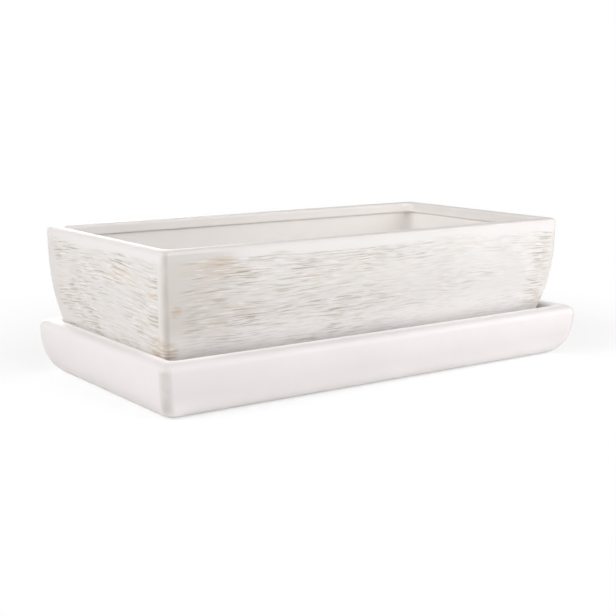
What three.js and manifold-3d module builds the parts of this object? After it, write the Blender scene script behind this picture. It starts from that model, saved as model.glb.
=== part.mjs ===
// A long rectangular planter of glazed stoneware that stands loose in its drip saucer.
// Millimetres, +Z up, +X along the length. The origin is on the ground under the middle of the saucer.

import * as THREE from 'three';
import { mergeVertices } from 'three/addons/utils/BufferGeometryUtils.js';
import Module from 'manifold-3d';

const wasm = await Module();
wasm.setup();

// Pot, outside
const potLength = 300;
const potWidth = 153.5;
const potHeight = 86;
const potCornerRadius = 5;
const potEndBelly = 14.4;
const potSideBelly = 23.8;
const potBellyPower = 2.75;
const potLowerEdgeRound = 3;

// Pot, rim and wall
const potRimWidth = 8;
const potRimDepth = 5.8;
const potRimOuterRound = 2.2;
const potRimInnerRound = 2.2;
const potLipChamfer = 1.1;
const potWall = 6;
const potInnerCornerRadius = 4;

// Pot, floor and foot
const potFloor = 6.5;
const potFloorFillet = 8;
const potFootHeight = 2.5;
const potFootSetback = 6;
const potFootWidth = 9;
const potFootSlope = 0.8;
const footNotchWidth = 14;
const footNotchHeight = 1.8;
const drainHoleDiameter = 14;
const drainHoleSpacing = 150;
const drainHoleCount = 2;

// Saucer
const saucerHeight = 33.5;
const saucerRimWidth = 11.8;
const saucerRimOuterRound = 5.5;
const saucerRimInnerRound = 2.7;
const saucerCornerRadius = 6;
const saucerInnerCornerRadius = 4.5;
const saucerEndTuck = 13.6;
const saucerSideTuck = 17;
const saucerTuckPower = 2.15;
const saucerFloorTop = 6.3;
const saucerFloorFillet = 5;
const saucerFootWidth = 10;
const saucerFootHeight = 1.5;
const saucerFootSlope = 0.6;

// How the pot stands in the saucer
const potPlayAlong = 2.65;
const potPlayAcross = 4.8;
const potPushAlong = -0.82;
const potPushAcross = 0.78;
const seatGap = 0.3;

// How finely the round shapes are cut into flat faces
const cornerSteps = 3;
const sideSteps = 9;
const arcSteps = 5;
const holeSides = 32;
const mergeDistance = 1e-4;

const plainGlaze = '#efece6';
const brushedGlaze = '#ebe6dd';

const saucerSideHeight = saucerHeight - saucerRimOuterRound;

/** The share of its full belly by which the pot's side is drawn in at a height above its foot. */
function potDraw(height) {
  return ((potHeight - height) / potHeight) ** potBellyPower;
}

/** How fast that share grows on the way down. */
function potDrawSlope(height) {
  return potBellyPower / potHeight * ((potHeight - height) / potHeight) ** (potBellyPower - 1);
}

/** The share of its full tuck by which the saucer's side is drawn in at a height: part of a superellipse. */
function saucerDraw(height) {
  const share = Math.max(saucerSideHeight - height, 0) / saucerSideHeight;
  return 1 - (1 - share ** saucerTuckPower) ** (1 / saucerTuckPower);
}

/** How fast that share grows on the way down, taken over a tenth of a millimetre. */
function saucerDrawSlope(height) {
  const step = 0.1;
  return (saucerDraw(height - step) - saucerDraw(height)) / step;
}

const potRise = saucerFloorTop + seatGap;
const potDrawInSaucerRim = potDraw(saucerHeight - saucerRimInnerRound - potRise);
const rimAndPlayAlong = potPlayAlong + saucerRimWidth;
const rimAndPlayAcross = potPlayAcross + saucerRimWidth;
const saucerHalfLength = potLength / 2 - potEndBelly * potDrawInSaucerRim + rimAndPlayAlong;
const saucerHalfWidth = potWidth / 2 - potSideBelly * potDrawInSaucerRim + rimAndPlayAcross;

/** A point of a section: its own inset, the share of the belly or tuck added to it, and its height. */
function spot(inset, draw, height) {
  return new THREE.Vector3(inset, draw, height);
}

/** Points along a quarter circle of a rim, with both ends. Nothing is drawn in there. */
function rimArc(centreInset, rimHeight, round, startAngle, endAngle) {
  return Array.from({ length: arcSteps + 1 }, (_, step) => {
    const angle = THREE.MathUtils.lerp(startAngle, endAngle, step / arcSteps);
    const height = rimHeight - round + round * Math.sin(angle);
    return spot(centreInset + round * Math.cos(angle), 0, height);
  });
}

/** Points along a side that is drawn in by a formula of the height, evenly spaced, with both ends. */
function sidePoints(drawAt, startHeight, endHeight, inset) {
  return Array.from({ length: sideSteps + 1 }, (_, step) => {
    const height = THREE.MathUtils.lerp(startHeight, endHeight, step / sideSteps);
    return spot(inset, drawAt(height), height);
  });
}

/** Points from a side, at the given height, round to a level face below it that starts further in. */
function bottomRound(drawAt, slopeAt, sideHeight, levelHeight, inset, run) {
  const start = spot(inset, drawAt(sideHeight), sideHeight);
  const drawBelow = start.y + slopeAt(sideHeight) * (sideHeight - levelHeight);
  const corner = spot(inset, drawBelow, levelHeight);
  const end = spot(inset + run, drawBelow, levelHeight);
  return new THREE.QuadraticBezierCurve3(start, corner, end).getPoints(arcSteps);
}

/** One level outline of a piece: a rectangle with round corners, as points in counter-clockwise order. */
function outline(halfLength, halfWidth, cornerRadius) {
  const x = halfLength - cornerRadius;
  const y = halfWidth - cornerRadius;
  const path = new THREE.Path();
  path.absarc(x, y, cornerRadius, 0, Math.PI / 2);
  path.absarc(-x, y, cornerRadius, Math.PI / 2, Math.PI);
  path.absarc(-x, -y, cornerRadius, Math.PI, 1.5 * Math.PI);
  path.absarc(x, -y, cornerRadius, 1.5 * Math.PI, 2 * Math.PI);
  return path.getPoints(cornerSteps);
}

/** Triangles that fill one outline, as numbers of its points, facing up. */
function fillOutline(points, firstNumber) {
  const triangles = THREE.ShapeUtils.triangulateShape(points, []);
  return triangles.map((corners) => corners.map((corner) => firstNumber + corner));
}

/** Skins a stack of outlines, underside first, over the rim and down to the floor, and fills both ends. */
function skin(sections) {
  const positions = [];
  const faces = [];
  const count = sections[0].points.length;
  for (const { points, height } of sections) {
    points.forEach((point) => positions.push(point.x, point.y, height));
  }
  for (let level = 0; level < sections.length - 1; level += 1) {
    for (let side = 0; side < count; side += 1) {
      const next = (side + 1) % count;
      const low = level * count;
      const high = low + count;
      faces.push(low + side, low + next, high + next);
      faces.push(low + side, high + next, high + side);
    }
  }
  const lastLevel = (sections.length - 1) * count;
  fillOutline(sections[0].points, 0).forEach((corners) => faces.push(...corners.reverse()));
  fillOutline(sections.at(-1).points, lastLevel).forEach((corners) => faces.push(...corners));
  const geometry = new THREE.BufferGeometry();
  geometry.setAttribute('position', new THREE.Float32BufferAttribute(positions, 3));
  geometry.setIndex(faces);
  return geometry;
}

/** Turns a section into a piece's level outlines, by its half sizes and its full end and side draws. */
function levelOutlines(section, halfLength, halfWidth, endDraw, sideDraw) {
  return section.map(({ inset, draw, height, cornerRadius }) => ({
    points: outline(
      halfLength - inset - endDraw * draw,
      halfWidth - inset - sideDraw * draw,
      cornerRadius),
    height,
  }));
}

/** A stretch of section whose outlines all have the same corner radius. */
function stretch(cornerRadius, points) {
  return points.map(({ x: inset, y: draw, z: height }) => ({ inset, draw, height, cornerRadius }));
}

/** The outer round of a rim, whose corner radius shrinks with its inset but not below the least. */
function outerRimRound(rimHeight, round, cornerRadius, leastRadius) {
  const points = rimArc(round, rimHeight, round, Math.PI, Math.PI / 2);
  return points.flatMap((point) => stretch(Math.max(cornerRadius - point.x, leastRadius), [point]));
}

/** The inner round of a rim of the given width. */
function innerRimRound(rimHeight, rimWidth, round, cornerRadius) {
  return stretch(cornerRadius, rimArc(rimWidth - round, rimHeight, round, Math.PI / 2, 0));
}

function toSolid(geometry) {
  const bare = geometry.clone();
  bare.deleteAttribute('normal');
  bare.deleteAttribute('uv');
  const merged = mergeVertices(bare, mergeDistance);
  return new wasm.Manifold(new wasm.Mesh({
    numProp: 3,
    vertProperties: new Float32Array(merged.attributes.position.array),
    triVerts: new Uint32Array(merged.index.array),
  }));
}

function toGeometry(solid) {
  const mesh = solid.getMesh();
  const geometry = new THREE.BufferGeometry();
  geometry.setAttribute('position', new THREE.Float32BufferAttribute(mesh.vertProperties, 3));
  geometry.setIndex(Array.from(mesh.triVerts));
  return geometry;
}

/** The pot's section: from the recess under it, round the foot, up, over the rim and down inside. */
function potSection() {
  const footInner = potFootSetback + potFootWidth;
  const edgeTop = potFootHeight + potLowerEdgeRound;
  const lipBottom = potHeight - potRimDepth;
  const floorTop = potFootHeight + potFloor;
  const filletTop = floorTop + potFloorFillet;
  const foot = [
    spot(footInner + potFootSlope, 1, potFootHeight),
    spot(footInner, 1, 0),
    spot(potFootSetback, 1, 0),
    spot(potFootSetback - potFootSlope, 1, potFootHeight),
  ];
  const lowerEdge = bottomRound(
    potDraw, potDrawSlope, edgeTop, potFootHeight, 0, potLowerEdgeRound);
  const side = sidePoints(potDraw, edgeTop, potHeight - potRimOuterRound, 0);
  const lip = [spot(potRimWidth, 0, lipBottom + potLipChamfer)];
  const insideWall = sidePoints(potDraw, lipBottom, filletTop, potWall);
  const fillet = bottomRound(potDraw, potDrawSlope, filletTop, floorTop, potWall, potFloorFillet);
  return [
    ...stretch(potInnerCornerRadius, foot),
    ...stretch(potCornerRadius, lowerEdge.reverse()),
    ...stretch(potCornerRadius, side.slice(1, -1)),
    ...outerRimRound(potHeight, potRimOuterRound, potCornerRadius, potInnerCornerRadius),
    ...innerRimRound(potHeight, potRimWidth, potRimInnerRound, potInnerCornerRadius),
    ...stretch(potInnerCornerRadius, lip),
    ...stretch(potInnerCornerRadius, insideWall),
    ...stretch(potInnerCornerRadius, fillet.slice(1)),
  ];
}

/** A drill for one drain hole, upright through the pot's floor. */
function drainDrill(along) {
  const radius = drainHoleDiameter / 2;
  const drill = new THREE.CylinderGeometry(radius, radius, 2 * potFloor, holeSides);
  drill.rotateX(Math.PI / 2);
  drill.translate(along, 0, potFootHeight + potFloor / 2);
  return drill;
}

/** Cuts the drain holes through the floor and the low notches that let water out past the foot. */
function cutPot(body) {
  let solid = toSolid(body);
  for (let hole = 0; hole < drainHoleCount; hole += 1) {
    const along = (hole - (drainHoleCount - 1) / 2) * drainHoleSpacing;
    solid = solid.subtract(toSolid(drainDrill(along)));
  }
  const notchesAlong = new THREE.BoxGeometry(potLength, footNotchWidth, 2 * footNotchHeight);
  const notchesAcross = new THREE.BoxGeometry(footNotchWidth, potWidth, 2 * footNotchHeight);
  return solid.subtract(toSolid(notchesAlong)).subtract(toSolid(notchesAcross));
}

function makePot() {
  const levels = levelOutlines(
    potSection(), potLength / 2, potWidth / 2, potEndBelly, potSideBelly);
  const body = skin(levels);
  const glaze = new THREE.MeshStandardMaterial({ color: brushedGlaze, roughness: 0.5, metalness: 0 });
  const pot = new THREE.Mesh(toGeometry(cutPot(body)), glaze);
  pot.name = 'planter_pot';
  return pot;
}

/** Points up the saucer's side, evenly spaced in the angle round its quarter superellipse. */
function saucerSide() {
  return Array.from({ length: sideSteps + 1 }, (_, step) => {
    const angle = Math.PI / 2 * (1 - step / sideSteps);
    const fall = Math.sin(angle) ** (2 / saucerTuckPower);
    const height = saucerSideHeight * (1 - fall);
    return spot(0, saucerDraw(height), height);
  });
}

/** The saucer's section: from the recess under it, round the foot, up, over the rim and down inside. */
function saucerSection() {
  const filletTop = saucerFloorTop + saucerFloorFillet;
  const foot = [
    spot(saucerFootWidth + saucerFootSlope, 1, saucerFootHeight),
    spot(saucerFootWidth, 1, 0),
  ];
  const insideWall = sidePoints(
    saucerDraw, saucerHeight - saucerRimInnerRound, filletTop, saucerRimWidth);
  const fillet = bottomRound(
    saucerDraw, saucerDrawSlope, filletTop, saucerFloorTop, saucerRimWidth, saucerFloorFillet);
  return [
    ...stretch(saucerInnerCornerRadius, foot),
    ...stretch(saucerCornerRadius, saucerSide().slice(0, -1)),
    ...outerRimRound(saucerHeight, saucerRimOuterRound, saucerCornerRadius, saucerInnerCornerRadius),
    ...innerRimRound(saucerHeight, saucerRimWidth, saucerRimInnerRound, saucerInnerCornerRadius),
    ...stretch(saucerInnerCornerRadius, insideWall.slice(1)),
    ...stretch(saucerInnerCornerRadius, fillet.slice(1)),
  ];
}

function makeSaucer() {
  const levels = levelOutlines(
    saucerSection(), saucerHalfLength, saucerHalfWidth, saucerEndTuck, saucerSideTuck);
  const body = skin(levels);
  const glaze = new THREE.MeshStandardMaterial({ color: plainGlaze, roughness: 0.45, metalness: 0 });
  const saucer = new THREE.Mesh(toGeometry(toSolid(body)), glaze);
  saucer.name = 'drip_saucer';
  return saucer;
}

const planter = new THREE.Group();
const saucer = makeSaucer();
const pot = makePot();
pot.position.set(potPushAlong * potPlayAlong, potPushAcross * potPlayAcross, potRise);
planter.add(saucer, pot);

export default planter;
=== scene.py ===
"""A long glazed stoneware planter standing loose in its drip saucer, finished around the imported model."""

import bpy
import numpy as np
from bpy.props import FloatProperty, FloatVectorProperty, IntProperty, PointerProperty
from mathutils import Matrix, Vector
from mathutils.geometry import delaunay_2d_cdt


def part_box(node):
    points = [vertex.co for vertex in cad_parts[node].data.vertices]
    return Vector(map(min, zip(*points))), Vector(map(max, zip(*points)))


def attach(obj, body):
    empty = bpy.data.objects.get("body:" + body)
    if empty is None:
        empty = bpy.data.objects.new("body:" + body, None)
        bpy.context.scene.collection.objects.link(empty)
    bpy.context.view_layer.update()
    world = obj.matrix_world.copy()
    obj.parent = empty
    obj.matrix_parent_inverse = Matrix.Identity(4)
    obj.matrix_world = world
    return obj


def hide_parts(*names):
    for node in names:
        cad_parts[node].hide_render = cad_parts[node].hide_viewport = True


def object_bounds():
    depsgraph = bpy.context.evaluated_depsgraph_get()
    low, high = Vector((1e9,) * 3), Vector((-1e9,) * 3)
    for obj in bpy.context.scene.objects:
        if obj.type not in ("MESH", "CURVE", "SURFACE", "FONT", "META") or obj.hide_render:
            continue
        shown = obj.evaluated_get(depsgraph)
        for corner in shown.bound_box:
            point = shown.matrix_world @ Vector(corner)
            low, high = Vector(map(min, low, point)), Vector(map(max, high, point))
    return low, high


bl_info = {
    "name": "Stoneware planter",
    "version": (1, 0, 0),
    "blender": (4, 5, 0),
    "location": "View3D > Sidebar > Planter",
    "description": "Makes a long glazed planter, its drip saucer and a plain stage",
    "category": "Add Mesh",
}

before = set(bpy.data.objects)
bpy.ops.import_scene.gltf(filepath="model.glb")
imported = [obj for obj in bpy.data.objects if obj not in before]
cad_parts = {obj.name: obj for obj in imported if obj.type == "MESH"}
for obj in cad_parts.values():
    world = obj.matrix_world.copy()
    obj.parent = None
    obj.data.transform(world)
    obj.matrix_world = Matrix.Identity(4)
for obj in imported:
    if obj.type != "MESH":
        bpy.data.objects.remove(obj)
CAD_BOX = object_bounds()
POT_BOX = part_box("planter_pot")
SAUCER_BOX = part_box("drip_saucer")

MM = 0.001
RIGHT_ANGLE = np.pi / 2

# Lamps: name, degrees counter-clockwise from the front, degrees up, distance and size in metres, watts.
LAMPS = (
    ("left_lamp", -95, 30, 1.4, 0.7, 14.6),
    ("left_front_lamp", -60, 30, 1.4, 0.7, 3.5),
    ("front_high_lamp", 10, 45, 1.4, 0.8, 6.0),
    ("front_low_lamp", 15, 12, 1.4, 0.7, 6.1),
    ("right_near_lamp", 45, 20, 0.7, 0.4, 1.9),
    ("back_lamp", 165, 12, 1.4, 0.7, 8.0),
)

# Where the camera that was fitted to the photograph stands, in metres.
CAMERA_PLACE = (-0.44772, -0.62372, 0.17509)

BRUSHED, PLAIN, SAUCER, CLAY = range(4)

# Roughness of the finishes: the glaze at its glossiest and dullest, where it is scratched, and bare clay.
SATIN, DULL_SATIN, SCRATCHED, MATT = 0.44, 0.56, 0.7, 0.85

# Golden places on the pot: place in shares of its box, reach in metres along x, y and z, and strength.
WARM_SPOTS = (
    ((0.12, 0.00, 0.88), (0.018, 0.02, 0.008), 0.5),
    ((0.96, 0.10, 0.36), (0.018, 0.02, 0.008), 0.7),
    ((1.00, 0.02, 0.80), (0.006, 0.01, 0.02), 0.6),
    ((0.02, 0.08, 0.34), (0.010, 0.012, 0.010), 1.0),
    ((0.03, 0.03, 0.61), (0.005, 0.006, 0.005), 1.0),
)


def linear(hex_colour):
    """An sRGB hex colour as linear red, green, blue and full alpha."""
    srgb = np.array([int(hex_colour[i:i + 2], 16) for i in (1, 3, 5)]) / 255
    value = np.where(srgb <= 0.04045, srgb / 12.92, ((srgb + 0.055) / 1.055) ** 2.4)
    return (*value.tolist(), 1.0)


def length_setting(name, description, millimetres):
    """A length that a user may change, shown in the scene's unit."""
    return FloatProperty(
        name=name, description=description, default=millimetres * MM, min=0, unit="LENGTH", precision=4)


def colour_setting(name, description, hex_colour):
    """A colour that a user may change."""
    return FloatVectorProperty(
        name=name, description=description, default=linear(hex_colour), size=4, min=0, max=1,
        subtype="COLOR")


class PotSizes(bpy.types.PropertyGroup):
    """Sizes of the pot beyond the overall ones, which come from the frame."""
    end_belly: length_setting("End belly", "How far each end draws in to the foot", 14.4)
    side_belly: length_setting("Side belly", "How far each long side draws in to the foot", 23.8)
    belly_power: FloatProperty(
        name="Belly power", description="How late on the way down the sides draw in", default=2.75, min=1)
    corner: length_setting("Corner", "Outer corner radius seen from above", 4)
    inner_corner: length_setting("Inner corner", "Inner corner radius seen from above", 6.5)
    rim_width: length_setting("Rim width", "Width of the thick rim", 8)
    rim_depth: length_setting("Rim depth", "Height of the lip inside the rim", 7.2)
    rim_round: length_setting("Rim round", "Height over which the rim rounds over", 2.4)
    lip_round: length_setting("Lip round", "Radius under the lip's lower edge", 1.1)
    wall: length_setting("Wall", "Thickness of the wall below the lip", 6)
    floor: length_setting("Floor", "Thickness of the floor", 6.5)
    floor_fillet: length_setting("Floor fillet", "Size of the round between the wall and the floor", 8)
    edge: length_setting("Lower edge", "Size of the round at the lower outside edge", 3)
    foot_height: length_setting("Foot height", "Height of the foot", 2.5)
    foot_setback: length_setting("Foot setback", "How far the foot stands in from the lower edge", 6)
    foot_width: length_setting("Foot width", "Width of the foot", 9)
    foot_slope: length_setting("Foot slope", "How much wider the foot is where it meets the floor", 0.8)
    foot_round: length_setting("Foot round", "Radius of the foot's edges", 0.7)
    notch_width: length_setting("Notch width", "Width of the gaps in the foot that let water out", 14)
    notch_height: length_setting("Notch height", "Height of those gaps", 1.8)
    hole_width: length_setting("Drain hole", "Diameter of each drain hole", 14)
    hole_round: length_setting("Drain hole edge", "Radius of the drain holes' edges", 1.2)
    hole_spacing: length_setting("Drain hole spacing", "Distance between neighbouring drain holes", 150)
    hole_count: IntProperty(name="Drain holes", description="How many drain holes", default=2, min=0)
    rim_dip: length_setting("Rim dip", "How far the rim sags in the middle of its long sides", 0.1)
    side_bow: length_setting("Side bow", "How far the long sides bow in at the rim", 0.2)
    stroke_arch: length_setting("Stroke arch", "How far the strokes arch up over the short sides", 6)
    # Painted shade: how far the darkening past a side's first corner reaches.
    painted_shade_past_corner: length_setting("Thin start", "How far the thin glaze past a corner reaches", 60)
    # Painted light: where the whitening that lifts the shade low on the sides starts and is full, below the
    # rim.
    painted_lift_start: length_setting("Run start", "How far below the rim the glaze starts to be thicker", 38)
    painted_lift_full: length_setting("Run full", "How far below the rim the glaze is thickest", 62)


class SaucerSizes(bpy.types.PropertyGroup):
    """Sizes of the saucer beyond the overall ones, which come from the frame."""
    end_tuck: length_setting("End tuck", "How far the ends round under to the base", 13.6)
    side_tuck: length_setting("Side tuck", "How far the long sides round under to the base", 17)
    tuck_power: FloatProperty(
        name="Tuck power", description="Squareness of the round; 2 is an ellipse", default=2.15, min=1)
    corner: length_setting("Corner", "Outer corner radius seen from above", 6)
    inner_corner: length_setting("Inner corner", "Inner corner radius seen from above", 4.5)
    rim_width: length_setting("Rim width", "Width of the rim", 11.8)
    rim_round: length_setting("Rim round", "Height over which the rim's outer side rounds over", 5.5)
    rim_crest: length_setting("Rim crest", "How far in the rim is highest", 7.6)
    rim_inner_round: length_setting("Rim inner round", "Height over which its inner side rounds over", 3)
    floor_top: length_setting("Floor", "Height of the floor inside", 6.3)
    floor_fillet: length_setting("Floor fillet", "Size of the round between the wall and the floor", 5)
    foot_width: length_setting("Foot width", "Width of the foot ring", 10)
    foot_height: length_setting("Foot height", "Depth of the recess under the saucer", 1.5)
    foot_slope: length_setting("Foot slope", "How much wider the ring is where it meets the recess", 0.6)
    foot_round: length_setting("Foot round", "Radius of the ring's inner edge", 0.6)
    rim_dip: length_setting("Rim dip", "How far the rim sags in the middle of its long sides", 0.3)
    side_bow: length_setting("Side bow", "How far the long sides bow in at the rim", 0.2)


class GlazeColours(bpy.types.PropertyGroup):
    """Colours of the glaze and of the clay where it is bare."""
    saucer: colour_setting("Saucer", "Off-white glaze of the saucer's outside", "#D6D1D1")
    rim: colour_setting("Rim", "Off-white glaze of the pot's rim", "#D0CBC9")
    # Painted light: lighter than the rim, lifting the shade inside the pot.
    inside: colour_setting("Inside", "Off-white glaze inside the pot", "#E6E2DF")
    # Painted light: lighter than the outside, lifting the shade inside the saucer, by the pot and low on
    # the long sides.
    saucer_inside_whitened: colour_setting("Saucer inside", "Off-white glaze inside the saucer", "#F4F1F0")
    brushed: colour_setting("Brushed glaze", "Thin glaze under the rim, between the strokes", "#D3D0CF")
    # Painted light: a whiter tone low on the long sides that lifts the shade above the saucer.
    painted_lift_tone: colour_setting("Pooled glaze", "The same glaze where it has run down and is thicker", "#EFECEB")
    # Partly thicker glaze, partly a painted highlight beside the strokes.
    ridge_highlight: colour_setting("Ridge", "Thicker glaze pushed up beside the strokes", "#F0EFEF")
    stroke: colour_setting("Stroke", "Grey-brown strokes", "#8A7C6A")
    pale_stroke: colour_setting("Pale stroke", "Fainter beige strokes", "#B8B0A8")
    gold: colour_setting("Gold", "Golden-brown tint where the glaze is thin", "#AE9A82")
    pale_gold: colour_setting("Pale gold", "The same tint in the fainter strokes", "#C8B8A4")
    clay: colour_setting("Clay", "Fired clay where it is bare", "#DCCFBC")


def new_object(name, data):
    """Puts a mesh, a lamp or a camera into the scene as an object."""
    holder = bpy.data.objects.new(name, data)
    bpy.context.scene.collection.objects.link(holder)
    return holder


def smooth_step(value, start, end):
    """0 before start, 1 after end, and a smooth S between them."""
    share = np.clip((value - start) / (end - start), 0, 1)
    return share * share * (3 - 2 * share)


def rounded_line(points, radii, steps):
    """A broken line whose inner corners are replaced by arcs tangent to both of their sides."""
    points = np.array(points, float)
    pieces = [points[:1]]
    for before, corner, after, radius in zip(points[:-2], points[1:-1], points[2:], radii):
        into = (corner - before) / np.linalg.norm(corner - before)
        out = (after - corner) / np.linalg.norm(after - corner)
        turn = np.arctan2(into[0] * out[1] - into[1] * out[0], into @ out)
        side = np.sign(turn)
        start = corner - into * radius * np.tan(abs(turn) / 2)
        centre = start + side * radius * np.array([-into[1], into[0]])
        angle = np.linspace(0, turn, steps + 1)[:, None]
        spoke = start - centre
        across = np.array([-spoke[1], spoke[0]])
        pieces.append(centre + spoke * np.cos(angle) + across * np.sin(angle))
    pieces.append(points[-1:])
    return np.concatenate(pieces)


def bead(rim_height, rim_width, crest, outer_drop, inner_drop, power, steps):
    """The top of a rim from its outer to its inner face: two quarter superellipses meeting at the crest."""
    angle = np.linspace(0, RIGHT_ANGLE, steps + 1)
    along, up = np.sin(angle) ** (2 / power), np.cos(angle) ** (2 / power)
    outer = np.column_stack([crest * (1 - up), rim_height - outer_drop * (1 - along)])
    inner = np.column_stack([crest + (rim_width - crest) * along, rim_height - inner_drop * (1 - up)])
    return np.concatenate([outer, inner[1:]])


def bottom_round(side_height, level_height, inset, run_in, draw_at, steps):
    """A quadratic curve tangent to a drawn-in side and to a level face, as inset, draw and height.

    Its middle control point is where the side's tangent, from side_height down, meets level_height.
    """
    nudge = 0.01 * MM
    slope = (draw_at(side_height - nudge) - draw_at(side_height)) / nudge
    low_draw = draw_at(side_height) + slope * (side_height - level_height)
    start = np.array([inset, draw_at(side_height), side_height])
    corner = np.array([inset, low_draw, level_height])
    end = np.array([inset + run_in, low_draw, level_height])
    share = np.linspace(0, 1, steps + 1)[:, None]
    return (1 - share) ** 2 * start + 2 * share * (1 - share) * corner + share ** 2 * end


def stretch(points, draw, corner, zone):
    """Points of a section as rows of inset, draw, height and corner radius, with the zone they belong to.

    The draw is the share of the full belly or tuck that is added to the inset.
    """
    inset, height = points[:, 0], points[:, -1]
    draw = np.broadcast_to(draw, len(points))
    return np.column_stack([inset, draw, height, np.broadcast_to(corner, len(points))]), zone


def join(*stretches):
    """Strings stretches into one section without doubled points, with the zone of each band of faces."""
    rows = np.concatenate([points for points, _ in stretches])
    zones = np.concatenate([np.full(len(points), zone) for points, zone in stretches])
    least_step, usual_draw = 0.02 * MM, 10 * MM
    drawn_inset = rows[:, 0] + rows[:, 1] * usual_draw
    step = np.hypot(np.diff(drawn_inset), np.diff(rows[:, 2]))
    keep = np.concatenate([[True], step > least_step])
    return rows[keep], zones[keep][1:]


def run(steps, close_steps, close_share):
    """Shares from 1 down to -1 along a straight side, closer about its middle and without the end."""
    wide = np.linspace(1, close_share, steps // 2, endpoint=False)
    close = np.linspace(close_share, -close_share, close_steps, endpoint=False)
    return np.concatenate([wide, close, np.linspace(-close_share, -1, steps // 2, endpoint=False)])


def columns(long_run, short_run, corner_steps):
    """Where each column of the grid goes round a rounded rectangle, counter-clockwise from the back right.

    Each column has a share of the way from the middle to the corner centres along x and along y, and the
    angle of its corner arc: on a straight side the angle stays and one share runs, on a corner the shares
    stay and the angle runs. The lead is the share of its corner that a column has turned, and 1 on a side.
    """
    turned = np.arange(corner_steps) / corner_steps
    on_corner, on_long, on_short = (np.ones(len(part)) for part in (turned, long_run, short_run))
    share_x = [on_corner, long_run, -on_corner, -on_short, -on_corner, -long_run, on_corner, on_short]
    share_y = [on_corner, on_long, on_corner, short_run, -on_corner, -on_long, -on_corner, -short_run]
    lead = [turned, on_long, turned, on_short] * 2
    turns = [turned, on_long, turned + 1, 2 * on_short, turned + 2, 3 * on_long, turned + 3, 4 * on_short]
    angle = np.concatenate(turns) * RIGHT_ANGLE
    return np.concatenate(share_x), np.concatenate(share_y), angle, np.concatenate(lead)


def loft(section, half_length, half_width, end_draw, side_draw, around):
    """A grid of points: at each row of the section a rectangle with round corners.

    x is the x share times the half length less inset, drawn-in end and corner radius, plus the radius times
    the cosine of the angle, and y likewise with the side and the sine. z is the row's height.
    """
    share_x, share_y, angle, _ = around
    inset, draw, height, corner = (section[:, i:i + 1] for i in range(4))
    x = share_x * (half_length - inset - end_draw * draw - corner) + corner * np.cos(angle)
    y = share_y * (half_width - inset - side_draw * draw - corner) + corner * np.sin(angle)
    return np.stack([x, y, np.broadcast_to(height, x.shape)], axis=-1)


def distances(points, closed):
    """Running length along a line of points, from 0, with the closing side at the end if it is closed."""
    line = np.concatenate([points, points[:1]]) if closed else points
    return np.concatenate([[0], np.cumsum(np.linalg.norm(np.diff(line, axis=0), axis=1))])


def band_faces(row_count, column_count, first):
    """Four-sided faces between each ring of points and the next, wrapped round."""
    row = np.arange(row_count - 1)[:, None] * column_count + first
    column = np.arange(column_count)[None, :]
    after = (column + 1) % column_count
    return np.stack([row + column, row + after, row + after + column_count, row + column + column_count],
                    axis=-1).reshape(-1, 4)


def flat_fill(points, outline, holes, facing_up):
    """Triangles over a level face, between its outline and its round holes, given as runs of point numbers.

    The triangles of a constrained triangulation whose middle lies in a hole are left out.
    """
    rings = [outline, *holes]
    numbers = np.concatenate(rings)
    starts = np.cumsum([0] + [len(ring) for ring in rings])
    edges = [(start + i, start + (i + 1) % len(ring))
             for start, ring in zip(starts, rings)
             for i in range(len(ring))]
    flat = [Vector(points[number][:2]) for number in numbers]
    _, _, faces, origins, _, _ = delaunay_2d_cdt(flat, edges, [], 1, 1e-9)
    sources = np.array([origin[0] for origin in origins])
    triangles = numbers[sources[np.array(faces)]]
    middle = points[triangles][:, :, :2].mean(axis=1)
    inside = np.zeros(len(triangles), bool)
    for hole in holes:
        centre = points[hole][:, :2].mean(axis=0)
        reach = np.linalg.norm(points[hole[0]][:2] - centre)
        inside |= np.linalg.norm(middle - centre, axis=1) < reach
    triangles = triangles[~inside]
    return triangles if facing_up else triangles[:, ::-1]


def warp(points, half_length, height, dip, bow):
    """The sag of drying and firing: the middles of the long sides dip and bow in, most at the rim.

    Both grow with the square of the height, and fall off from the middle of a side to its ends as a
    parabola. They only ever move a point down or in.
    """
    x, y, z = points[..., 0], points[..., 1], points[..., 2]
    rise = np.clip(z / height, 0, 1) ** 2
    middle = np.clip(1 - (x / half_length) ** 2, 0, 1)
    half_width = np.abs(y).max()
    inward = bow * middle * rise * y / half_width
    return np.stack([x, y - inward, z - dip * middle * rise], axis=-1)


def make_piece(name, points, quads, triangles, uv_quads, zones, weights, materials):
    """Puts points and faces into a mesh with its own UV map, zones as materials and named point values."""
    mesh = bpy.data.meshes.new(name)
    mesh.from_pydata(points.tolist(), [], [*quads.tolist(), *triangles.tolist()])
    flat_uv = points[triangles][:, :, :2]
    layer = mesh.uv_layers.new(name="StrokeMap")
    layer.data.foreach_set("uv", np.concatenate([uv_quads.ravel(), flat_uv.ravel()]).astype(np.float32))
    for material in materials:
        mesh.materials.append(material)
    indices = np.concatenate([zones, np.full(len(triangles), zones[-1])])
    mesh.polygons.foreach_set("material_index", indices.astype(np.int32))
    mesh.polygons.foreach_set("use_smooth", np.ones(len(mesh.polygons), bool))
    for key, values in weights.items():
        mesh.attributes.new(key, "FLOAT", "POINT").data.foreach_set("value", values.astype(np.float32))
    mesh.validate()
    mesh.update()
    return new_object(name, mesh)


def grid_uv(u, v):
    """UV corners of each face of a wrapped grid, from its u and v at each row and column, seam included."""
    corners = [(slice(None, -1), slice(None, -1)), (slice(None, -1), slice(1, None)),
               (slice(1, None), slice(1, None)), (slice(1, None), slice(None, -1))]
    uv = [np.stack([u[corner], v[corner]], axis=-1) for corner in corners]
    return np.stack(uv, axis=-2).reshape(-1, 4, 2)


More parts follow.
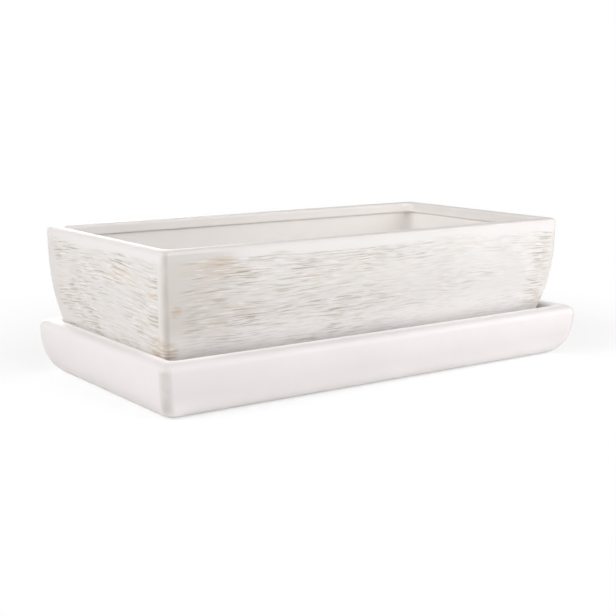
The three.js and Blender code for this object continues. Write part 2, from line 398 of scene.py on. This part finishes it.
def drain_holes(sizes, first):
    """The drain holes in a row along the pot: rings down a rounded upper edge, a wall and a lower edge.

    Gives points, faces and UV corners, numbered on from first, and each hole's upper and lower ring.
    """
    radius, edge = sizes.hole_width / 2, sizes.hole_round
    top, bottom = sizes.foot_height + sizes.floor, sizes.foot_height
    corners = [(radius + edge, top), (radius, top), (radius, bottom), (radius + edge, bottom)]
    profile = rounded_line(corners, [edge] * 2, steps=6)[1:-1]
    rings, sides = len(profile), 48
    angle = np.linspace(0, 4 * RIGHT_ANGLE, sides, endpoint=False)
    points, faces, uv, upper, lower = [], [], [], [], []
    for number in range(sizes.hole_count):
        centre_x = (number - (sizes.hole_count - 1) / 2) * sizes.hole_spacing
        x = centre_x + profile[:, :1] * np.cos(angle)
        y = profile[:, :1] * np.sin(angle)
        hole = np.stack([x, y, np.broadcast_to(profile[:, 1:], x.shape)], axis=-1)
        points.append(hole.reshape(-1, 3))
        faces.append(band_faces(rings, sides, first))
        uv.append(grid_uv(*np.meshgrid(distances(hole[0], True), distances(hole[:, 0], False))))
        upper.append(first + np.arange(sides))
        lower.append(first + (rings - 1) * sides + np.arange(sides))
        first += rings * sides
    return points, faces, uv, upper, lower


def stroke_uv(grid, section, side_draw, around, arch):
    """u runs round the rim and v up the section, both in metres. v rises towards the ends of short sides.

    A stroke follows a line of equal v, so it arches over each short side by the arch, and turns up again by
    a third of the arch in the last sixth of the way to each corner.
    """
    share_y = np.abs(around[1])
    round_rim = distances(grid[np.argmax(section[:, 2])], True)
    side_inset = section[:, 0] + side_draw * section[:, 1]
    up_section = distances(np.column_stack([side_inset, section[:, 2]]), False)
    lift = arch * (share_y ** 2 - smooth_step(share_y, 5 / 6, 1) / 3)
    lift = np.append(lift, lift[0])
    u, v = np.meshgrid(round_rim, up_section)
    return grid_uv(u, v + lift)


def pot_section(sizes, height):
    """The pot's section: from under the floor round the foot, up the side, over the rim and down inside."""
    def draw(z):
        return ((height - z) / height) ** sizes.belly_power

    foot_inner = sizes.foot_setback + sizes.foot_width
    foot = rounded_line(
        [(foot_inner + 4 * sizes.foot_slope, sizes.foot_height),
         (foot_inner + sizes.foot_slope, sizes.foot_height),
         (foot_inner, 0),
         (sizes.foot_setback, 0),
         (sizes.foot_setback - sizes.foot_slope, sizes.foot_height),
         (sizes.foot_setback - 3 * sizes.foot_slope, sizes.foot_height)],
        [sizes.foot_round] * 4, steps=5)
    edge_top = sizes.foot_height + sizes.edge
    edge = bottom_round(edge_top, sizes.foot_height, 0, sizes.edge, draw, steps=8)[::-1]
    side_top = height - sizes.rim_round
    rise = np.linspace(edge_top, side_top, 100)
    side = np.column_stack([np.zeros(len(rise)), rise])
    top = bead(height, sizes.rim_width, sizes.rim_width / 2, sizes.rim_round, sizes.rim_round,
               power=3.0, steps=13)
    lip_bottom = height - sizes.rim_depth
    wall_top = lip_bottom - 3 * sizes.lip_round
    lip = rounded_line(
        [(sizes.rim_width, side_top),
         (sizes.rim_width, lip_bottom),
         (sizes.wall, lip_bottom),
         (sizes.wall, wall_top)],
        [sizes.lip_round, 0.8 * sizes.lip_round], steps=5)
    floor_top = sizes.foot_height + sizes.floor
    fillet_top = floor_top + sizes.floor_fillet
    fall = np.linspace(wall_top, fillet_top, 34)
    inside = np.column_stack([np.full(len(fall), sizes.wall), fall])
    fillet = bottom_round(fillet_top, floor_top, sizes.wall, sizes.floor_fillet, draw, steps=12)
    bead_corner = sizes.corner + (sizes.inner_corner - sizes.corner) * top[:, 0] / sizes.rim_width
    return join(
        stretch(foot, 1, sizes.corner, CLAY),
        stretch(edge, edge[:, 1], sizes.corner, BRUSHED),
        stretch(side, draw(rise), sizes.corner, BRUSHED),
        stretch(top, 0, bead_corner, PLAIN),
        stretch(lip, draw(lip[:, 1]), sizes.inner_corner, PLAIN),
        stretch(inside, draw(fall), sizes.inner_corner, PLAIN),
        stretch(fillet, fillet[:, 1], sizes.inner_corner, PLAIN))


def saucer_section(sizes, height):
    """The saucer's section: from under the floor round the foot, up, over the rim and down inside."""
    side_height = height - sizes.rim_round

    def draw(z):
        share = np.clip(side_height - z, 0, None) / side_height
        return 1 - (1 - share ** sizes.tuck_power) ** (1 / sizes.tuck_power)

    foot = rounded_line(
        [(sizes.foot_width + 4 * sizes.foot_slope, sizes.foot_height),
         (sizes.foot_width + sizes.foot_slope, sizes.foot_height),
         (sizes.foot_width, 0),
         (0, 0)],
        [sizes.foot_round] * 2, steps=5)
    angle = np.linspace(RIGHT_ANGLE, 0, 37)
    rise = side_height * (1 - np.sin(angle) ** (2 / sizes.tuck_power))
    side_draw = 1 - np.cos(angle) ** (2 / sizes.tuck_power)
    side = np.column_stack([np.zeros(len(rise)), rise])
    top = bead(height, sizes.rim_width, sizes.rim_crest, sizes.rim_round, sizes.rim_inner_round,
               power=2.5, steps=14)
    fillet_top = sizes.floor_top + sizes.floor_fillet
    fall = np.linspace(height - sizes.rim_inner_round, fillet_top, 18)
    inside = np.column_stack([np.full(len(fall), sizes.rim_width), fall])
    fillet = bottom_round(fillet_top, sizes.floor_top, sizes.rim_width, sizes.floor_fillet, draw, steps=10)
    bead_corner = np.clip(sizes.corner - top[:, 0], sizes.inner_corner, None)
    return join(
        stretch(foot, 1, sizes.inner_corner, CLAY),
        stretch(side, side_draw, sizes.corner, SAUCER),
        stretch(top, 0, bead_corner, SAUCER),
        stretch(inside, draw(fall), sizes.inner_corner, SAUCER),
        stretch(fillet, fillet[:, 1], sizes.inner_corner, SAUCER))


def open_foot(points, foot_height, notch_width, notch_height):
    """Lifts the foot's underside in the middle of each side into a low arch that lets water out."""
    x, y, z = points[..., 0], points[..., 1], points[..., 2]
    low = np.clip(1 - z / foot_height, 0, 1)
    nearest = np.minimum(np.abs(x), np.abs(y))
    arch = 1 - smooth_step(nearest, 0.3 * notch_width, 0.5 * notch_width)
    return np.stack([x, y, z + notch_height * arch * low], axis=-1)


def add(tree, kind, values, **settings):
    """Adds a node with its settings. Each value is linked if it is a socket and otherwise set."""
    node = tree.nodes.new(kind)
    for name, value in settings.items():
        setattr(node, name, value)
    for key, value in values.items():
        if isinstance(value, bpy.types.NodeSocket):
            tree.links.new(value, node.inputs[key])
        else:
            node.inputs[key].default_value = value
    return node


def maths(tree, operation, first, second):
    """One sum on two values, each a socket or a number."""
    return add(tree, "ShaderNodeMath", {0: first, 1: second}, operation=operation).outputs[0]


def product(tree, *values):
    """All the values multiplied."""
    result = values[0]
    for value in values[1:]:
        result = maths(tree, "MULTIPLY", result, value)
    return result


def larger(tree, first, second):
    """The larger of two values."""
    return maths(tree, "MAXIMUM", first, second)


def ramp(tree, value, start, end, low=0.0, high=1.0, shape="SMOOTHSTEP"):
    """A change from low to high while the value goes from start to end."""
    return add(tree, "ShaderNodeMapRange",
               {"Value": value, "From Min": start, "From Max": end, "To Min": low, "To Max": high},
               interpolation_type=shape).outputs["Result"]


def blend(tree, share, first, second, blend_type="MIX"):
    """Two colours, the second laid over the first, or multiplied with it, by a share."""
    return add(tree, "ShaderNodeMix", {0: share, 6: first, 7: second},
               data_type="RGBA", blend_type=blend_type).outputs[2]


def point_value(tree, name):
    """A value that the mesh has at each of its points."""
    return add(tree, "ShaderNodeAttribute", {}, attribute_name=name).outputs["Fac"]


def place_on_object(tree):
    """The place of what is shaded, in metres from the object's origin."""
    return add(tree, "ShaderNodeTexCoord", {}).outputs["Object"]


def noise(tree, place, size, **values):
    """Noise whose features are about size wide each way, in metres."""
    return add(tree, "ShaderNodeTexNoise", {"Vector": place, "Scale": 1 / size, **values}).outputs["Fac"]


def brush_noise(tree, place, length, thickness, detail=2.0):
    """Noise whose features are about length long along the brush's way and thickness high, in metres."""
    stretched = add(tree, "ShaderNodeMapping", {"Vector": place, "Scale": (1 / length, 1 / thickness, 1)})
    return add(tree, "ShaderNodeTexNoise", {"Vector": stretched.outputs[0], "Scale": 1.0, "Detail": detail},
               noise_dimensions="2D").outputs["Fac"]


def new_material(name):
    """An empty node material and its node tree."""
    material = bpy.data.materials.new(name)
    material.use_nodes = True
    material.node_tree.nodes.clear()
    return material, material.node_tree


def surface(tree, colour, roughness, relief):
    """Ends a material in a surface of glaze or fired clay, tilted by a relief whose height is in metres."""
    bump = add(tree, "ShaderNodeBump", {"Height": relief, "Strength": 1.0, "Distance": 1.0})
    shader = add(tree, "ShaderNodeBsdfPrincipled", {
        "Base Color": colour, "Roughness": roughness, "Normal": bump.outputs["Normal"], "IOR": 1.5})
    add(tree, "ShaderNodeOutputMaterial", {"Surface": shader.outputs["BSDF"]})


def glaze_ground(tree, place, colour, thin_glaze_and_shade_colour):
    """The glaze's own colour: slow cloudy changes in its thickness, clay on thin crest edges, painted shade
    on outer corners.
    """
    cloud = noise(tree, place, 45 * MM, Detail=3.0, Roughness=0.55)
    shade = ramp(tree, cloud, 0.3, 0.7, 0.965, 1.0, "LINEAR")
    clouded = blend(tree, 1.0, colour, shade, "MULTIPLY")
    patch = ramp(tree, noise(tree, place, 12 * MM, Detail=4.0), 0.4, 0.6, 0.5, 1.0, "LINEAR")
    # Darker in patches: thin glaze along the crest, painted shade on the outer corners.
    return blend(tree, product(tree, point_value(tree, "thin_glaze_and_corner_shade"), patch), clouded, thin_glaze_and_shade_colour)


def glaze_relief(tree, place):
    """A fired glaze's faint orange peel over slower waves, as a height in metres."""
    waves = product(tree, noise(tree, place, 18 * MM, Detail=1.0), 0.12 * MM)
    peel = product(tree, noise(tree, place, 1.6 * MM, Detail=2.0), 0.016 * MM)
    return maths(tree, "ADD", waves, peel)


def plain_glaze(name, colour, painted_whitening_colour, thin_glaze_and_shade_colour):
    """Matt-satin off-white glaze, dipped and fired: soft broad sheen, cloudy thickness, faint orange peel.

    Where the piece's whitening value is 1 the colour is the whiter one: painted light that lifts the
    shade inside the pot, over the saucer's inner rim and inside, and low on the saucer's long sides.
    """
    material, tree = new_material(name)
    place = place_on_object(tree)
    coat = blend(tree, point_value(tree, "painted_whitening"), colour, painted_whitening_colour)
    ground = glaze_ground(tree, place, coat, thin_glaze_and_shade_colour)
    gloss = noise(tree, place, 30 * MM, Detail=2.0)
    roughness = ramp(tree, gloss, 0.0, 1.0, SATIN, DULL_SATIN, "LINEAR")
    surface(tree, ground, roughness, glaze_relief(tree, place))
    return material


def warm_spots(tree, position):
    """How golden the glaze is: each spot has its strength at its place and 0 beyond its reach."""
    low, high = POT_BOX
    strongest = 0.0
    for place_in_box, reach, strength in WARM_SPOTS:
        centre = tuple(low[i] + place_in_box[i] * (high[i] - low[i]) for i in range(3))
        away = add(tree, "ShaderNodeVectorMath", {0: position, 1: centre}, operation="SUBTRACT")
        scaled = add(tree, "ShaderNodeVectorMath", {0: away.outputs[0], 1: reach}, operation="DIVIDE")
        length = add(tree, "ShaderNodeVectorMath", {0: scaled.outputs[0]}, operation="LENGTH")
        spot = ramp(tree, length.outputs["Value"], 0.5, 1.0, strength, 0.0)
        strongest = larger(tree, strongest, spot)
    return strongest


def stroke_field(tree, height, waver, top, bottom):
    """1 between the plain band under the rim, whose edge wavers, and the plain strip above the foot."""
    edge = maths(tree, "ADD", height, product(tree, waver, 6 * MM))
    below_rim = ramp(tree, edge, top - 5.5 * MM, top - 2.5 * MM, 1.0, 0.0)
    above_foot = ramp(tree, height, bottom + 4 * MM, bottom + 10 * MM)
    return product(tree, below_rim, above_foot)


def brushed_share(tree, flat, field, painted_lift_low, from_start):
    """How much glaze the brush took at each place, and how strong its dashes are there.

    The brush sets in softly past a side's first corner, works in patches, takes less further on and low on
    the long sides where light is painted in, and digs in again in the last stretch. Long sides keep a least
    share.
    """
    to_end = point_value(tree, "to_end")
    patch = ramp(tree, brush_noise(tree, flat, 45 * MM, 16 * MM), 0.34, 0.62, 0.3, 1.0)
    far, farther = 100 * MM, 240 * MM
    softer = ramp(tree, from_start, far, farther, 1.0, 0.6)
    least = product(tree, point_value(tree, "long_side"), ramp(tree, from_start, far, farther, 0.6, 0.25))
    last_strokes = ramp(tree, to_end, 12 * MM, 32 * MM, 1.0, 0.0)
    setting_in = ramp(tree, from_start, 1 * MM, 18 * MM)
    off_corner = ramp(tree, to_end, 1 * MM, 3 * MM)
    less_below = ramp(tree, painted_lift_low, 0.0, 1.0, 1.0, 0.6)
    taken = larger(tree, product(tree, larger(tree, patch, least), softer), last_strokes)
    share = product(tree, field, less_below, setting_in, off_corner, taken)
    return share, larger(tree, softer, last_strokes)


def brush_marks(tree, flat, waver, brushed, dash_strength):
    """Dashes, furrows and ridges, each a strength from 0 to 1; the ridges also carry a painted highlight.

    All are stretched noise along the brush's way, bent by the waver: dashes and furrows where it is high,
    ridges where it is low. Also gives the finer noise itself.
    """
    offset = add(tree, "ShaderNodeCombineXYZ", {"Y": product(tree, waver, 3 * MM)}).outputs[0]
    wavy = add(tree, "ShaderNodeVectorMath", {0: flat, 1: offset}, operation="ADD").outputs[0]
    grain = brush_noise(tree, wavy, 12 * MM, 1.2 * MM)
    dash = ramp(tree, brush_noise(tree, wavy, 20 * MM, 0.9 * MM), 0.56, 0.66)
    furrow = ramp(tree, grain, 0.50, 0.68)
    # Ridges: raised glaze in the relief, and a painted highlight in the colour.
    ridge_highlight = ramp(tree, grain, 0.44, 0.30)
    return (product(tree, dash, brushed, dash_strength), product(tree, furrow, brushed),
            product(tree, ridge_highlight, brushed), grain)


def brushed_glaze(name, colours, top, bottom):
    """Off-white glaze dragged by a stiff brush: grey-brown clay shows in thin level strokes, in patches.

    Dashes show the clay, furrows only thin the glaze, and both are shallow scratches in the relief, while
    ridges are glaze pushed up between them and carry a painted highlight. Golden-brown spots are places
    where the glaze stayed thinnest. Painted shade darkens the colour past each side's first corner and,
    with the strokes' own tone, the field near a side's start; painted light whitens the low long sides.
    """
    material, tree = new_material(name)
    position = place_on_object(tree)
    flat = add(tree, "ShaderNodeUVMap", {}, uv_map="StrokeMap").outputs["UV"]
    height = add(tree, "ShaderNodeSeparateXYZ", {"Vector": position}).outputs["Z"]
    painted_lift_low = point_value(tree, "painted_lift_low")
    from_start = point_value(tree, "from_start")
    waver = brush_noise(tree, flat, 45 * MM, 30 * MM, 1.0)
    spots = warm_spots(tree, position)

    field = stroke_field(tree, height, waver, top, bottom)
    share, dash_strength = brushed_share(tree, flat, field, painted_lift_low, from_start)
    brushed = larger(tree, share, product(tree, field, spots))
    dash, furrow, ridge_highlight, grain = brush_marks(tree, flat, waver, brushed, dash_strength)

    warm = larger(tree, spots, ramp(tree, brush_noise(tree, flat, 30 * MM, 14 * MM), 0.50, 0.66))
    paint = blend(tree, warm, colours.stroke, colours.gold)
    faint = blend(tree, warm, colours.pale_stroke, colours.pale_gold)
    tint = product(tree, spots, ramp(tree, grain, 0.35, 0.6, 0.2, 1.0))
    # Painted shade past each side's first corner, less where the low sides are painted lighter.
    painted_shade_past_corner = product(tree, point_value(tree, "painted_shade_past_corner"), ramp(tree, painted_lift_low, 0.0, 1.0, 1.0, 0.3))
    not_lifted = maths(tree, "SUBTRACT", 1.0, painted_lift_low)
    # The field between strokes darkened with pale-stroke tone, less further along each side: partly the
    # strokes' tone, partly painted shade.
    field_tone_and_shade = product(tree, field, not_lifted, ramp(tree, from_start, 120 * MM, 260 * MM, 1.0, 0.45))
    # Painted light: whiter low on the long sides, lifting the shade above the saucer.
    coat = blend(tree, painted_lift_low, colours.brushed, colours.painted_lift_tone)
    colour = glaze_ground(tree, position, coat, colours.stroke)
    for mask, amount, tone in (
            (painted_shade_past_corner, 0.25, colours.stroke),
            (field_tone_and_shade, 0.24, colours.pale_stroke),
            (tint, 0.55, colours.gold),
            # Ridges: a painted highlight in the colour, beside raised relief.
            (ridge_highlight, 0.25, colours.ridge_highlight),
            (furrow, 0.55, faint),
            (dash, 0.6, paint)):
        colour = blend(tree, product(tree, mask, amount), colour, tone)

    scratches = maths(tree, "ADD", dash, product(tree, furrow, 0.5))
    raised = maths(tree, "SUBTRACT", product(tree, ridge_highlight, 0.5), scratches)
    relief = maths(tree, "ADD", glaze_relief(tree, position), product(tree, raised, 0.06 * MM))
    surface(tree, colour, ramp(tree, scratches, 0.0, 1.0, SATIN, SCRATCHED, "LINEAR"), relief)
    return material


def bare_clay(name, colours):
    """Unglazed fired stoneware, wiped clean: matt and buff, with fine grog speckle and a sandy tooth."""
    material, tree = new_material(name)
    grog = noise(tree, place_on_object(tree), 1.2 * MM, Detail=4.0, Roughness=0.7)
    speckle = ramp(tree, grog, 0.35, 0.65, 0.8, 1.04, "LINEAR")
    surface(tree, blend(tree, 1.0, colours.clay, speckle, "MULTIPLY"), MATT, product(tree, grog, 0.08 * MM))
    return material


def glaze_materials(colours):
    """The finishes in the order of the zones, made once and shared by both pieces."""
    names = ("glazed_stoneware_brushed", "glazed_stoneware_poured", "glazed_stoneware_dipped",
             "bare_stoneware_fired")
    found = [bpy.data.materials.get(name) for name in names]
    if all(found):
        return found
    low, high = POT_BOX
    return [
        brushed_glaze(names[BRUSHED], colours, high.z, low.z),
        plain_glaze(names[PLAIN], colours.rim, colours.inside, colours.stroke),
        plain_glaze(names[SAUCER], colours.saucer, colours.saucer_inside_whitened, colours.stroke),
        bare_clay(names[CLAY], colours)]


def half_sizes(box):
    """Half a box's length, half its width, its height, and the middle of its underside."""
    low, high = box
    middle = np.array([(low.x + high.x) / 2, (low.y + high.y) / 2, low.z])
    return (high.x - low.x) / 2, (high.y - low.y) / 2, high.z - low.z, middle


def facing_long(around, on_short=0.0):
    """How far each column faces front or back: 1 on the long sides and a given share on the short ones."""
    return on_short + (1 - on_short) * np.abs(np.sin(around[2]))


def thin_edges_and_corner_shade(section, around, rim_height, on_crest, lean):
    """How thin the glaze runs along the crest of the rim, by a given share, and the painted shade on
    the outer corners, which also stands for thin glaze there.

    On a corner it is darkest where the lead to the power of the lean is a half.
    """
    outer_face, crest_reach, on_corner = 3 * MM, 0.8 * MM, 0.3
    outside = 1 - smooth_step(section[:, 0], 0, outer_face)
    crest = np.exp(-((section[:, 2] - rim_height) / crest_reach) ** 2) * on_crest
    # Painted shade on the outer corners, partly also thin glaze there.
    corner = np.sin(np.pi * around[3] ** lean) * on_corner
    return (crest[:, None] + outside[:, None] * corner[None, :]).ravel()


def side_travel(around, half_length, half_width):
    """How far along its side each column stands from the side's start and from its end, counter-clockwise.

    A straight side's share runs from 1 to -1 on the back and left sides and from -1 to 1 on the front and
    right ones. In a corner both distances are 0.
    """
    share_x, share_y, _, _ = around
    on_long = np.abs(share_x) < 1
    share = np.where(on_long, share_x, share_y) * np.where(on_long, np.sign(share_y), -np.sign(share_x))
    reach = np.where(on_long, half_length, np.where(np.abs(share_y) < 1, half_width, 0))
    return reach * (1 - share), reach * (1 + share)


def pot_glaze(sizes, section, around, half_length, half_width, height):
    """How the glaze lies at each point of the pot's grid, as named values that its finishes read.

    Past a side's first corner the colour is painted darker, growing over the corner and fading along the
    side: painted shade. Low on the sides it is whiter: painted light that lifts the shade above the saucer.
    Both are less on the short sides. Inside it is whiter than on the rim, most below the lip: painted
    light.
    """
    rows = len(section)
    from_start, to_end = side_travel(around, half_length, half_width)
    # Painted shade past each side's first corner, fading along the side.
    fading = around[3] * smooth_step(from_start, sizes.painted_shade_past_corner, sizes.painted_shade_past_corner / 4)
    # Painted light low on the sides, lifting the shade above the saucer.
    low = smooth_step(height - section[:, 2], sizes.painted_lift_start, sizes.painted_lift_full)
    # Painted light: the inside whiter than the rim, most below the lip, lifting its shade.
    over_rim = smooth_step(section[:, 0], 0.35 * sizes.rim_width, 0.7 * sizes.rim_width)
    below_lip = smooth_step(height - section[:, 2], 0.3 * sizes.rim_depth, sizes.rim_depth)
    on_lip = 0.65
    painted_whitening = over_rim * (on_lip + (1 - on_lip) * below_lip)
    return {
        "thin_glaze_and_corner_shade": thin_edges_and_corner_shade(section, around, height, on_crest=0.12, lean=2.0),
        "from_start": np.tile(from_start, rows),
        "to_end": np.tile(to_end, rows),
        "painted_shade_past_corner": np.tile(fading * facing_long(around, on_short=0.2), rows),
        "painted_lift_low": (low[:, None] * facing_long(around, on_short=0.15)).ravel(),
        "long_side": np.tile(facing_long(around), rows),
        "painted_whitening": np.repeat(painted_whitening, len(around[0])),
    }


def saucer_glaze(sizes, section, around, height):
    """How the glaze lies on the saucer's grid: painted light makes it whitest over the inner rim and inside
    and whiter low on the long sides, lifting the shade there; the outer corners get painted shade.
    """
    # Painted light: whiter over the inner rim, lifting the pot's shade, and low on the long sides.
    over_rim = smooth_step(section[:, 0], 0.25 * sizes.rim_width, 0.65 * sizes.rim_width)
    most_outside = 0.4
    painted_lift_low = most_outside * smooth_step(1 - section[:, 2] / height, 0.5, 0.9)
    painted_whitening = np.maximum(over_rim[:, None], painted_lift_low[:, None] * facing_long(around))
    return {
        "thin_glaze_and_corner_shade": thin_edges_and_corner_shade(section, around, height, on_crest=0, lean=0.8),
        "painted_whitening": painted_whitening.ravel(),
    }


class PLANTER_OT_make_pot(bpy.types.Operator):
    """Makes the glazed pot: side, rim, inside, foot and drain holes as one surface."""
    bl_idname = "planter.make_pot"
    bl_label = "Make the pot"

    def execute(self, context):
        sizes, colours = context.scene.pot_sizes, context.scene.glaze_colours
        half_length, half_width, height, middle = half_sizes(POT_BOX)
        section, zones = pot_section(sizes, height)
        around = columns(run(84, 20, 0.07), run(40, 20, 0.17), corner_steps=12)
        grid = loft(section, half_length, half_width, sizes.end_belly, sizes.side_belly, around)
        grid = open_foot(grid, sizes.foot_height, sizes.notch_width, sizes.notch_height)
        row_count, column_count = grid.shape[:2]
        on_grid = row_count * column_count
        hole_points, hole_faces, hole_uv, upper_rings, lower_rings = drain_holes(sizes, on_grid)
        points = np.concatenate([grid.reshape(-1, 3), *hole_points])
        faces = np.concatenate([band_faces(row_count, column_count, 0), *hole_faces])
        side_uv = stroke_uv(grid, section, sizes.side_belly, around, sizes.stroke_arch)
        side_zones = np.repeat(zones, column_count)
        face_zones = np.append(side_zones, np.full(len(faces) - len(side_zones), PLAIN))
        weights = pot_glaze(sizes, section, around, half_length, half_width, height)
        weights = {key: np.append(values, np.full(len(points) - on_grid, key == "painted_whitening"))
                   for key, values in weights.items()}
        first_ring = np.arange(column_count)
        under = flat_fill(points, first_ring, lower_rings, facing_up=False)
        floor = flat_fill(points, on_grid - column_count + first_ring, upper_rings, facing_up=True)
        points = warp(points, half_length, height, sizes.rim_dip, sizes.side_bow) + middle
        pot = make_piece("planter_pot_glazed", points, faces, np.concatenate([under, floor]),
                         np.concatenate([side_uv, *hole_uv]), face_zones, weights, glaze_materials(colours))
        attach(pot, "pot")
        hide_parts("planter_pot")
        return {"FINISHED"}


class PLANTER_OT_make_saucer(bpy.types.Operator):
    """Makes the glazed saucer: side, rim, inside and foot ring as one surface."""
    bl_idname = "planter.make_saucer"
    bl_label = "Make the saucer"

    def execute(self, context):
        sizes, colours = context.scene.saucer_sizes, context.scene.glaze_colours
        half_length, half_width, height, middle = half_sizes(SAUCER_BOX)
        section, zones = saucer_section(sizes, height)
        around = columns(run(96, 8, 0.05), run(48, 8, 0.1), corner_steps=12)
        grid = loft(section, half_length, half_width, sizes.end_tuck, sizes.side_tuck, around)
        row_count, column_count = grid.shape[:2]
        points = grid.reshape(-1, 3)
        first_ring = np.arange(column_count)
        under = flat_fill(points, first_ring, [], facing_up=False)
        floor = flat_fill(points, len(points) - column_count + first_ring, [], facing_up=True)
        points = warp(points, half_length, height, sizes.rim_dip, sizes.side_bow) + middle
        saucer = make_piece("drip_saucer_glazed", points, band_faces(row_count, column_count, 0),
                            np.concatenate([under, floor]),
                            stroke_uv(grid, section, sizes.side_tuck, around, arch=0),
                            np.repeat(zones, column_count),
                            saucer_glaze(sizes, section, around, height), glaze_materials(colours))
        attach(saucer, "saucer")
        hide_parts("drip_saucer")
        return {"FINISHED"}


def make_floor():
    """A level white floor that keeps the soft shadow near the object and is plain white further out."""
    reach = 4.0
    corners = np.array([(-1, -1, 0), (1, -1, 0), (1, 1, 0), (-1, 1, 0)]) * reach
    mesh = bpy.data.meshes.new("floor")
    mesh.from_pydata(corners.tolist(), [], [(0, 1, 2, 3)])
    material, tree = new_material("painted_floor_matt")
    camera_ray = add(tree, "ShaderNodeLightPath", {}).outputs["Is Camera Ray"]
    tone = blend(tree, camera_ray, linear("#F7F7F6"), linear("#FFFFFF"))
    matt = add(tree, "ShaderNodeBsdfDiffuse", {"Color": tone}).outputs[0]
    white = add(tree, "ShaderNodeEmission", {"Color": linear("#FFFFFF"), "Strength": 1.0}).outputs[0]
    away = add(tree, "ShaderNodeVectorMath", {0: place_on_object(tree)}, operation="LENGTH")
    fade = product(tree, ramp(tree, away.outputs["Value"], 0.1, 0.4, 0.6, 1.0), camera_ray)
    both = add(tree, "ShaderNodeMixShader", {0: fade, 1: matt, 2: white}).outputs[0]
    add(tree, "ShaderNodeOutputMaterial", {"Surface": both})
    mesh.materials.append(material)
    floor = new_object("floor", mesh)


def make_world(light_strength):
    """Plain white where the camera or a reflection sees it, and an even light of a strength all round."""
    world = bpy.data.worlds.new("plain_studio")
    bpy.context.scene.world = world
    world.use_nodes = True
    tree = world.node_tree
    tree.nodes.clear()
    rays = add(tree, "ShaderNodeLightPath", {}).outputs
    seen = larger(tree, rays["Is Camera Ray"], rays["Is Glossy Ray"])
    seen = larger(tree, seen, rays["Is Transmission Ray"])
    light, white = (
        add(tree, "ShaderNodeBackground", {"Color": linear("#FFFFFF"), "Strength": strength}).outputs[0]
        for strength in (light_strength, 1.0))
    both = add(tree, "ShaderNodeMixShader", {0: seen, 1: light, 2: white}).outputs[0]
    add(tree, "ShaderNodeOutputWorld", {"Surface": both})


def inward(azimuth, elevation):
    """The way towards the object from degrees counter-clockwise from its front and degrees up."""
    azimuth, elevation = np.radians([azimuth, elevation])
    level = np.cos(elevation)
    return Vector((-np.sin(azimuth) * level, np.cos(azimuth) * level, -np.sin(elevation)))


def make_lamp(name, azimuth, elevation, distance, size, watts):
    """A square soft lamp that faces the middle of the object from a distance."""
    lamp = bpy.data.lights.new(name, "AREA")
    lamp.size = size
    lamp.energy = watts
    holder = new_object(name, lamp)
    holder.visible_camera = False
    direction = inward(azimuth, elevation)
    place = (CAD_BOX[0] + CAD_BOX[1]) / 2 - distance * direction
    turn = direction.to_track_quat("-Z", "Y").to_matrix()
    holder.matrix_world = Matrix.Translation(place) @ turn.to_4x4()


def make_camera(place, azimuth, elevation, roll, focal_length):
    """A camera that looks level with the azimuth, down by the elevation, and is turned by the roll."""
    forward = inward(azimuth, elevation)
    roll = np.radians(roll)
    level = forward.cross(Vector((0, 0, 1))).normalized()
    up = level.cross(forward)
    right = np.cos(roll) * level + np.sin(roll) * up
    top = np.cos(roll) * up - np.sin(roll) * level
    lens = bpy.data.cameras.new("camera")
    lens.sensor_width = 36
    lens.lens = focal_length
    lens.clip_start = 0.01
    camera = new_object("camera", lens)
    turn = Matrix((right, top, -forward)).transposed()
    camera.matrix_world = Matrix.Translation(place) @ turn.to_4x4()
    bpy.context.scene.camera = camera


class StageSettings(bpy.types.PropertyGroup):
    """Settings of the plain studio."""
    focal_length: FloatProperty(name="Focal length", description="Lens in millimetres", default=69.35)
    azimuth: FloatProperty(
        name="Azimuth", description="Degrees that the camera looks round the object", default=-35.31)
    elevation: FloatProperty(
        name="Elevation", description="Degrees that the camera looks down", default=10.28)
    roll: FloatProperty(name="Roll", description="Degrees that the camera is turned", default=0)
    sky: FloatProperty(name="Sky", description="Strength of the even light all round", default=0)


class PLANTER_OT_make_stage(bpy.types.Operator):
    """Makes the floor, the white surroundings, the soft lamps and the camera."""
    bl_idname = "planter.make_stage"
    bl_label = "Make the stage"

    def execute(self, context):
        stage = context.scene.stage_settings
        make_floor()
        make_world(stage.sky)
        for lamp in LAMPS:
            make_lamp(*lamp)
        make_camera(CAMERA_PLACE, stage.azimuth, stage.elevation, stage.roll, stage.focal_length)
        context.scene.view_settings.view_transform = "Standard"
        return {"FINISHED"}


class PLANTER_PT_panel(bpy.types.Panel):
    """Lists the makers of the pieces and the stage, and all settings."""
    bl_idname = "PLANTER_PT_panel"
    bl_label = "Stoneware planter"
    bl_space_type = "VIEW_3D"
    bl_region_type = "UI"
    bl_category = "Planter"

    def draw(self, context):
        for operator in OPERATORS:
            self.layout.operator(operator.bl_idname)
        for group in GROUPS:
            box = self.layout.box()
            settings = getattr(context.scene, group)
            for name in settings.bl_rna.properties.keys():
                if name not in ("rna_type", "name"):
                    box.prop(settings, name)


GROUPS = {
    "pot_sizes": PotSizes,
    "saucer_sizes": SaucerSizes,
    "glaze_colours": GlazeColours,
    "stage_settings": StageSettings,
}
OPERATORS = (PLANTER_OT_make_saucer, PLANTER_OT_make_pot, PLANTER_OT_make_stage)


def register():
    """Registers the settings, operators and panel."""
    for name, group in GROUPS.items():
        bpy.utils.register_class(group)
        setattr(bpy.types.Scene, name, PointerProperty(type=group))
    for item in (*OPERATORS, PLANTER_PT_panel):
        bpy.utils.register_class(item)


def unregister():
    """Takes them away again."""
    for item in (PLANTER_PT_panel, *reversed(OPERATORS)):
        bpy.utils.unregister_class(item)
    for name, group in reversed(GROUPS.items()):
        delattr(bpy.types.Scene, name)
        bpy.utils.unregister_class(group)


def main():
    """Makes the pieces and the stage."""
    register()
    bpy.ops.planter.make_saucer()
    bpy.ops.planter.make_pot()
    bpy.ops.planter.make_stage()


if __name__ == "__main__":
    main()
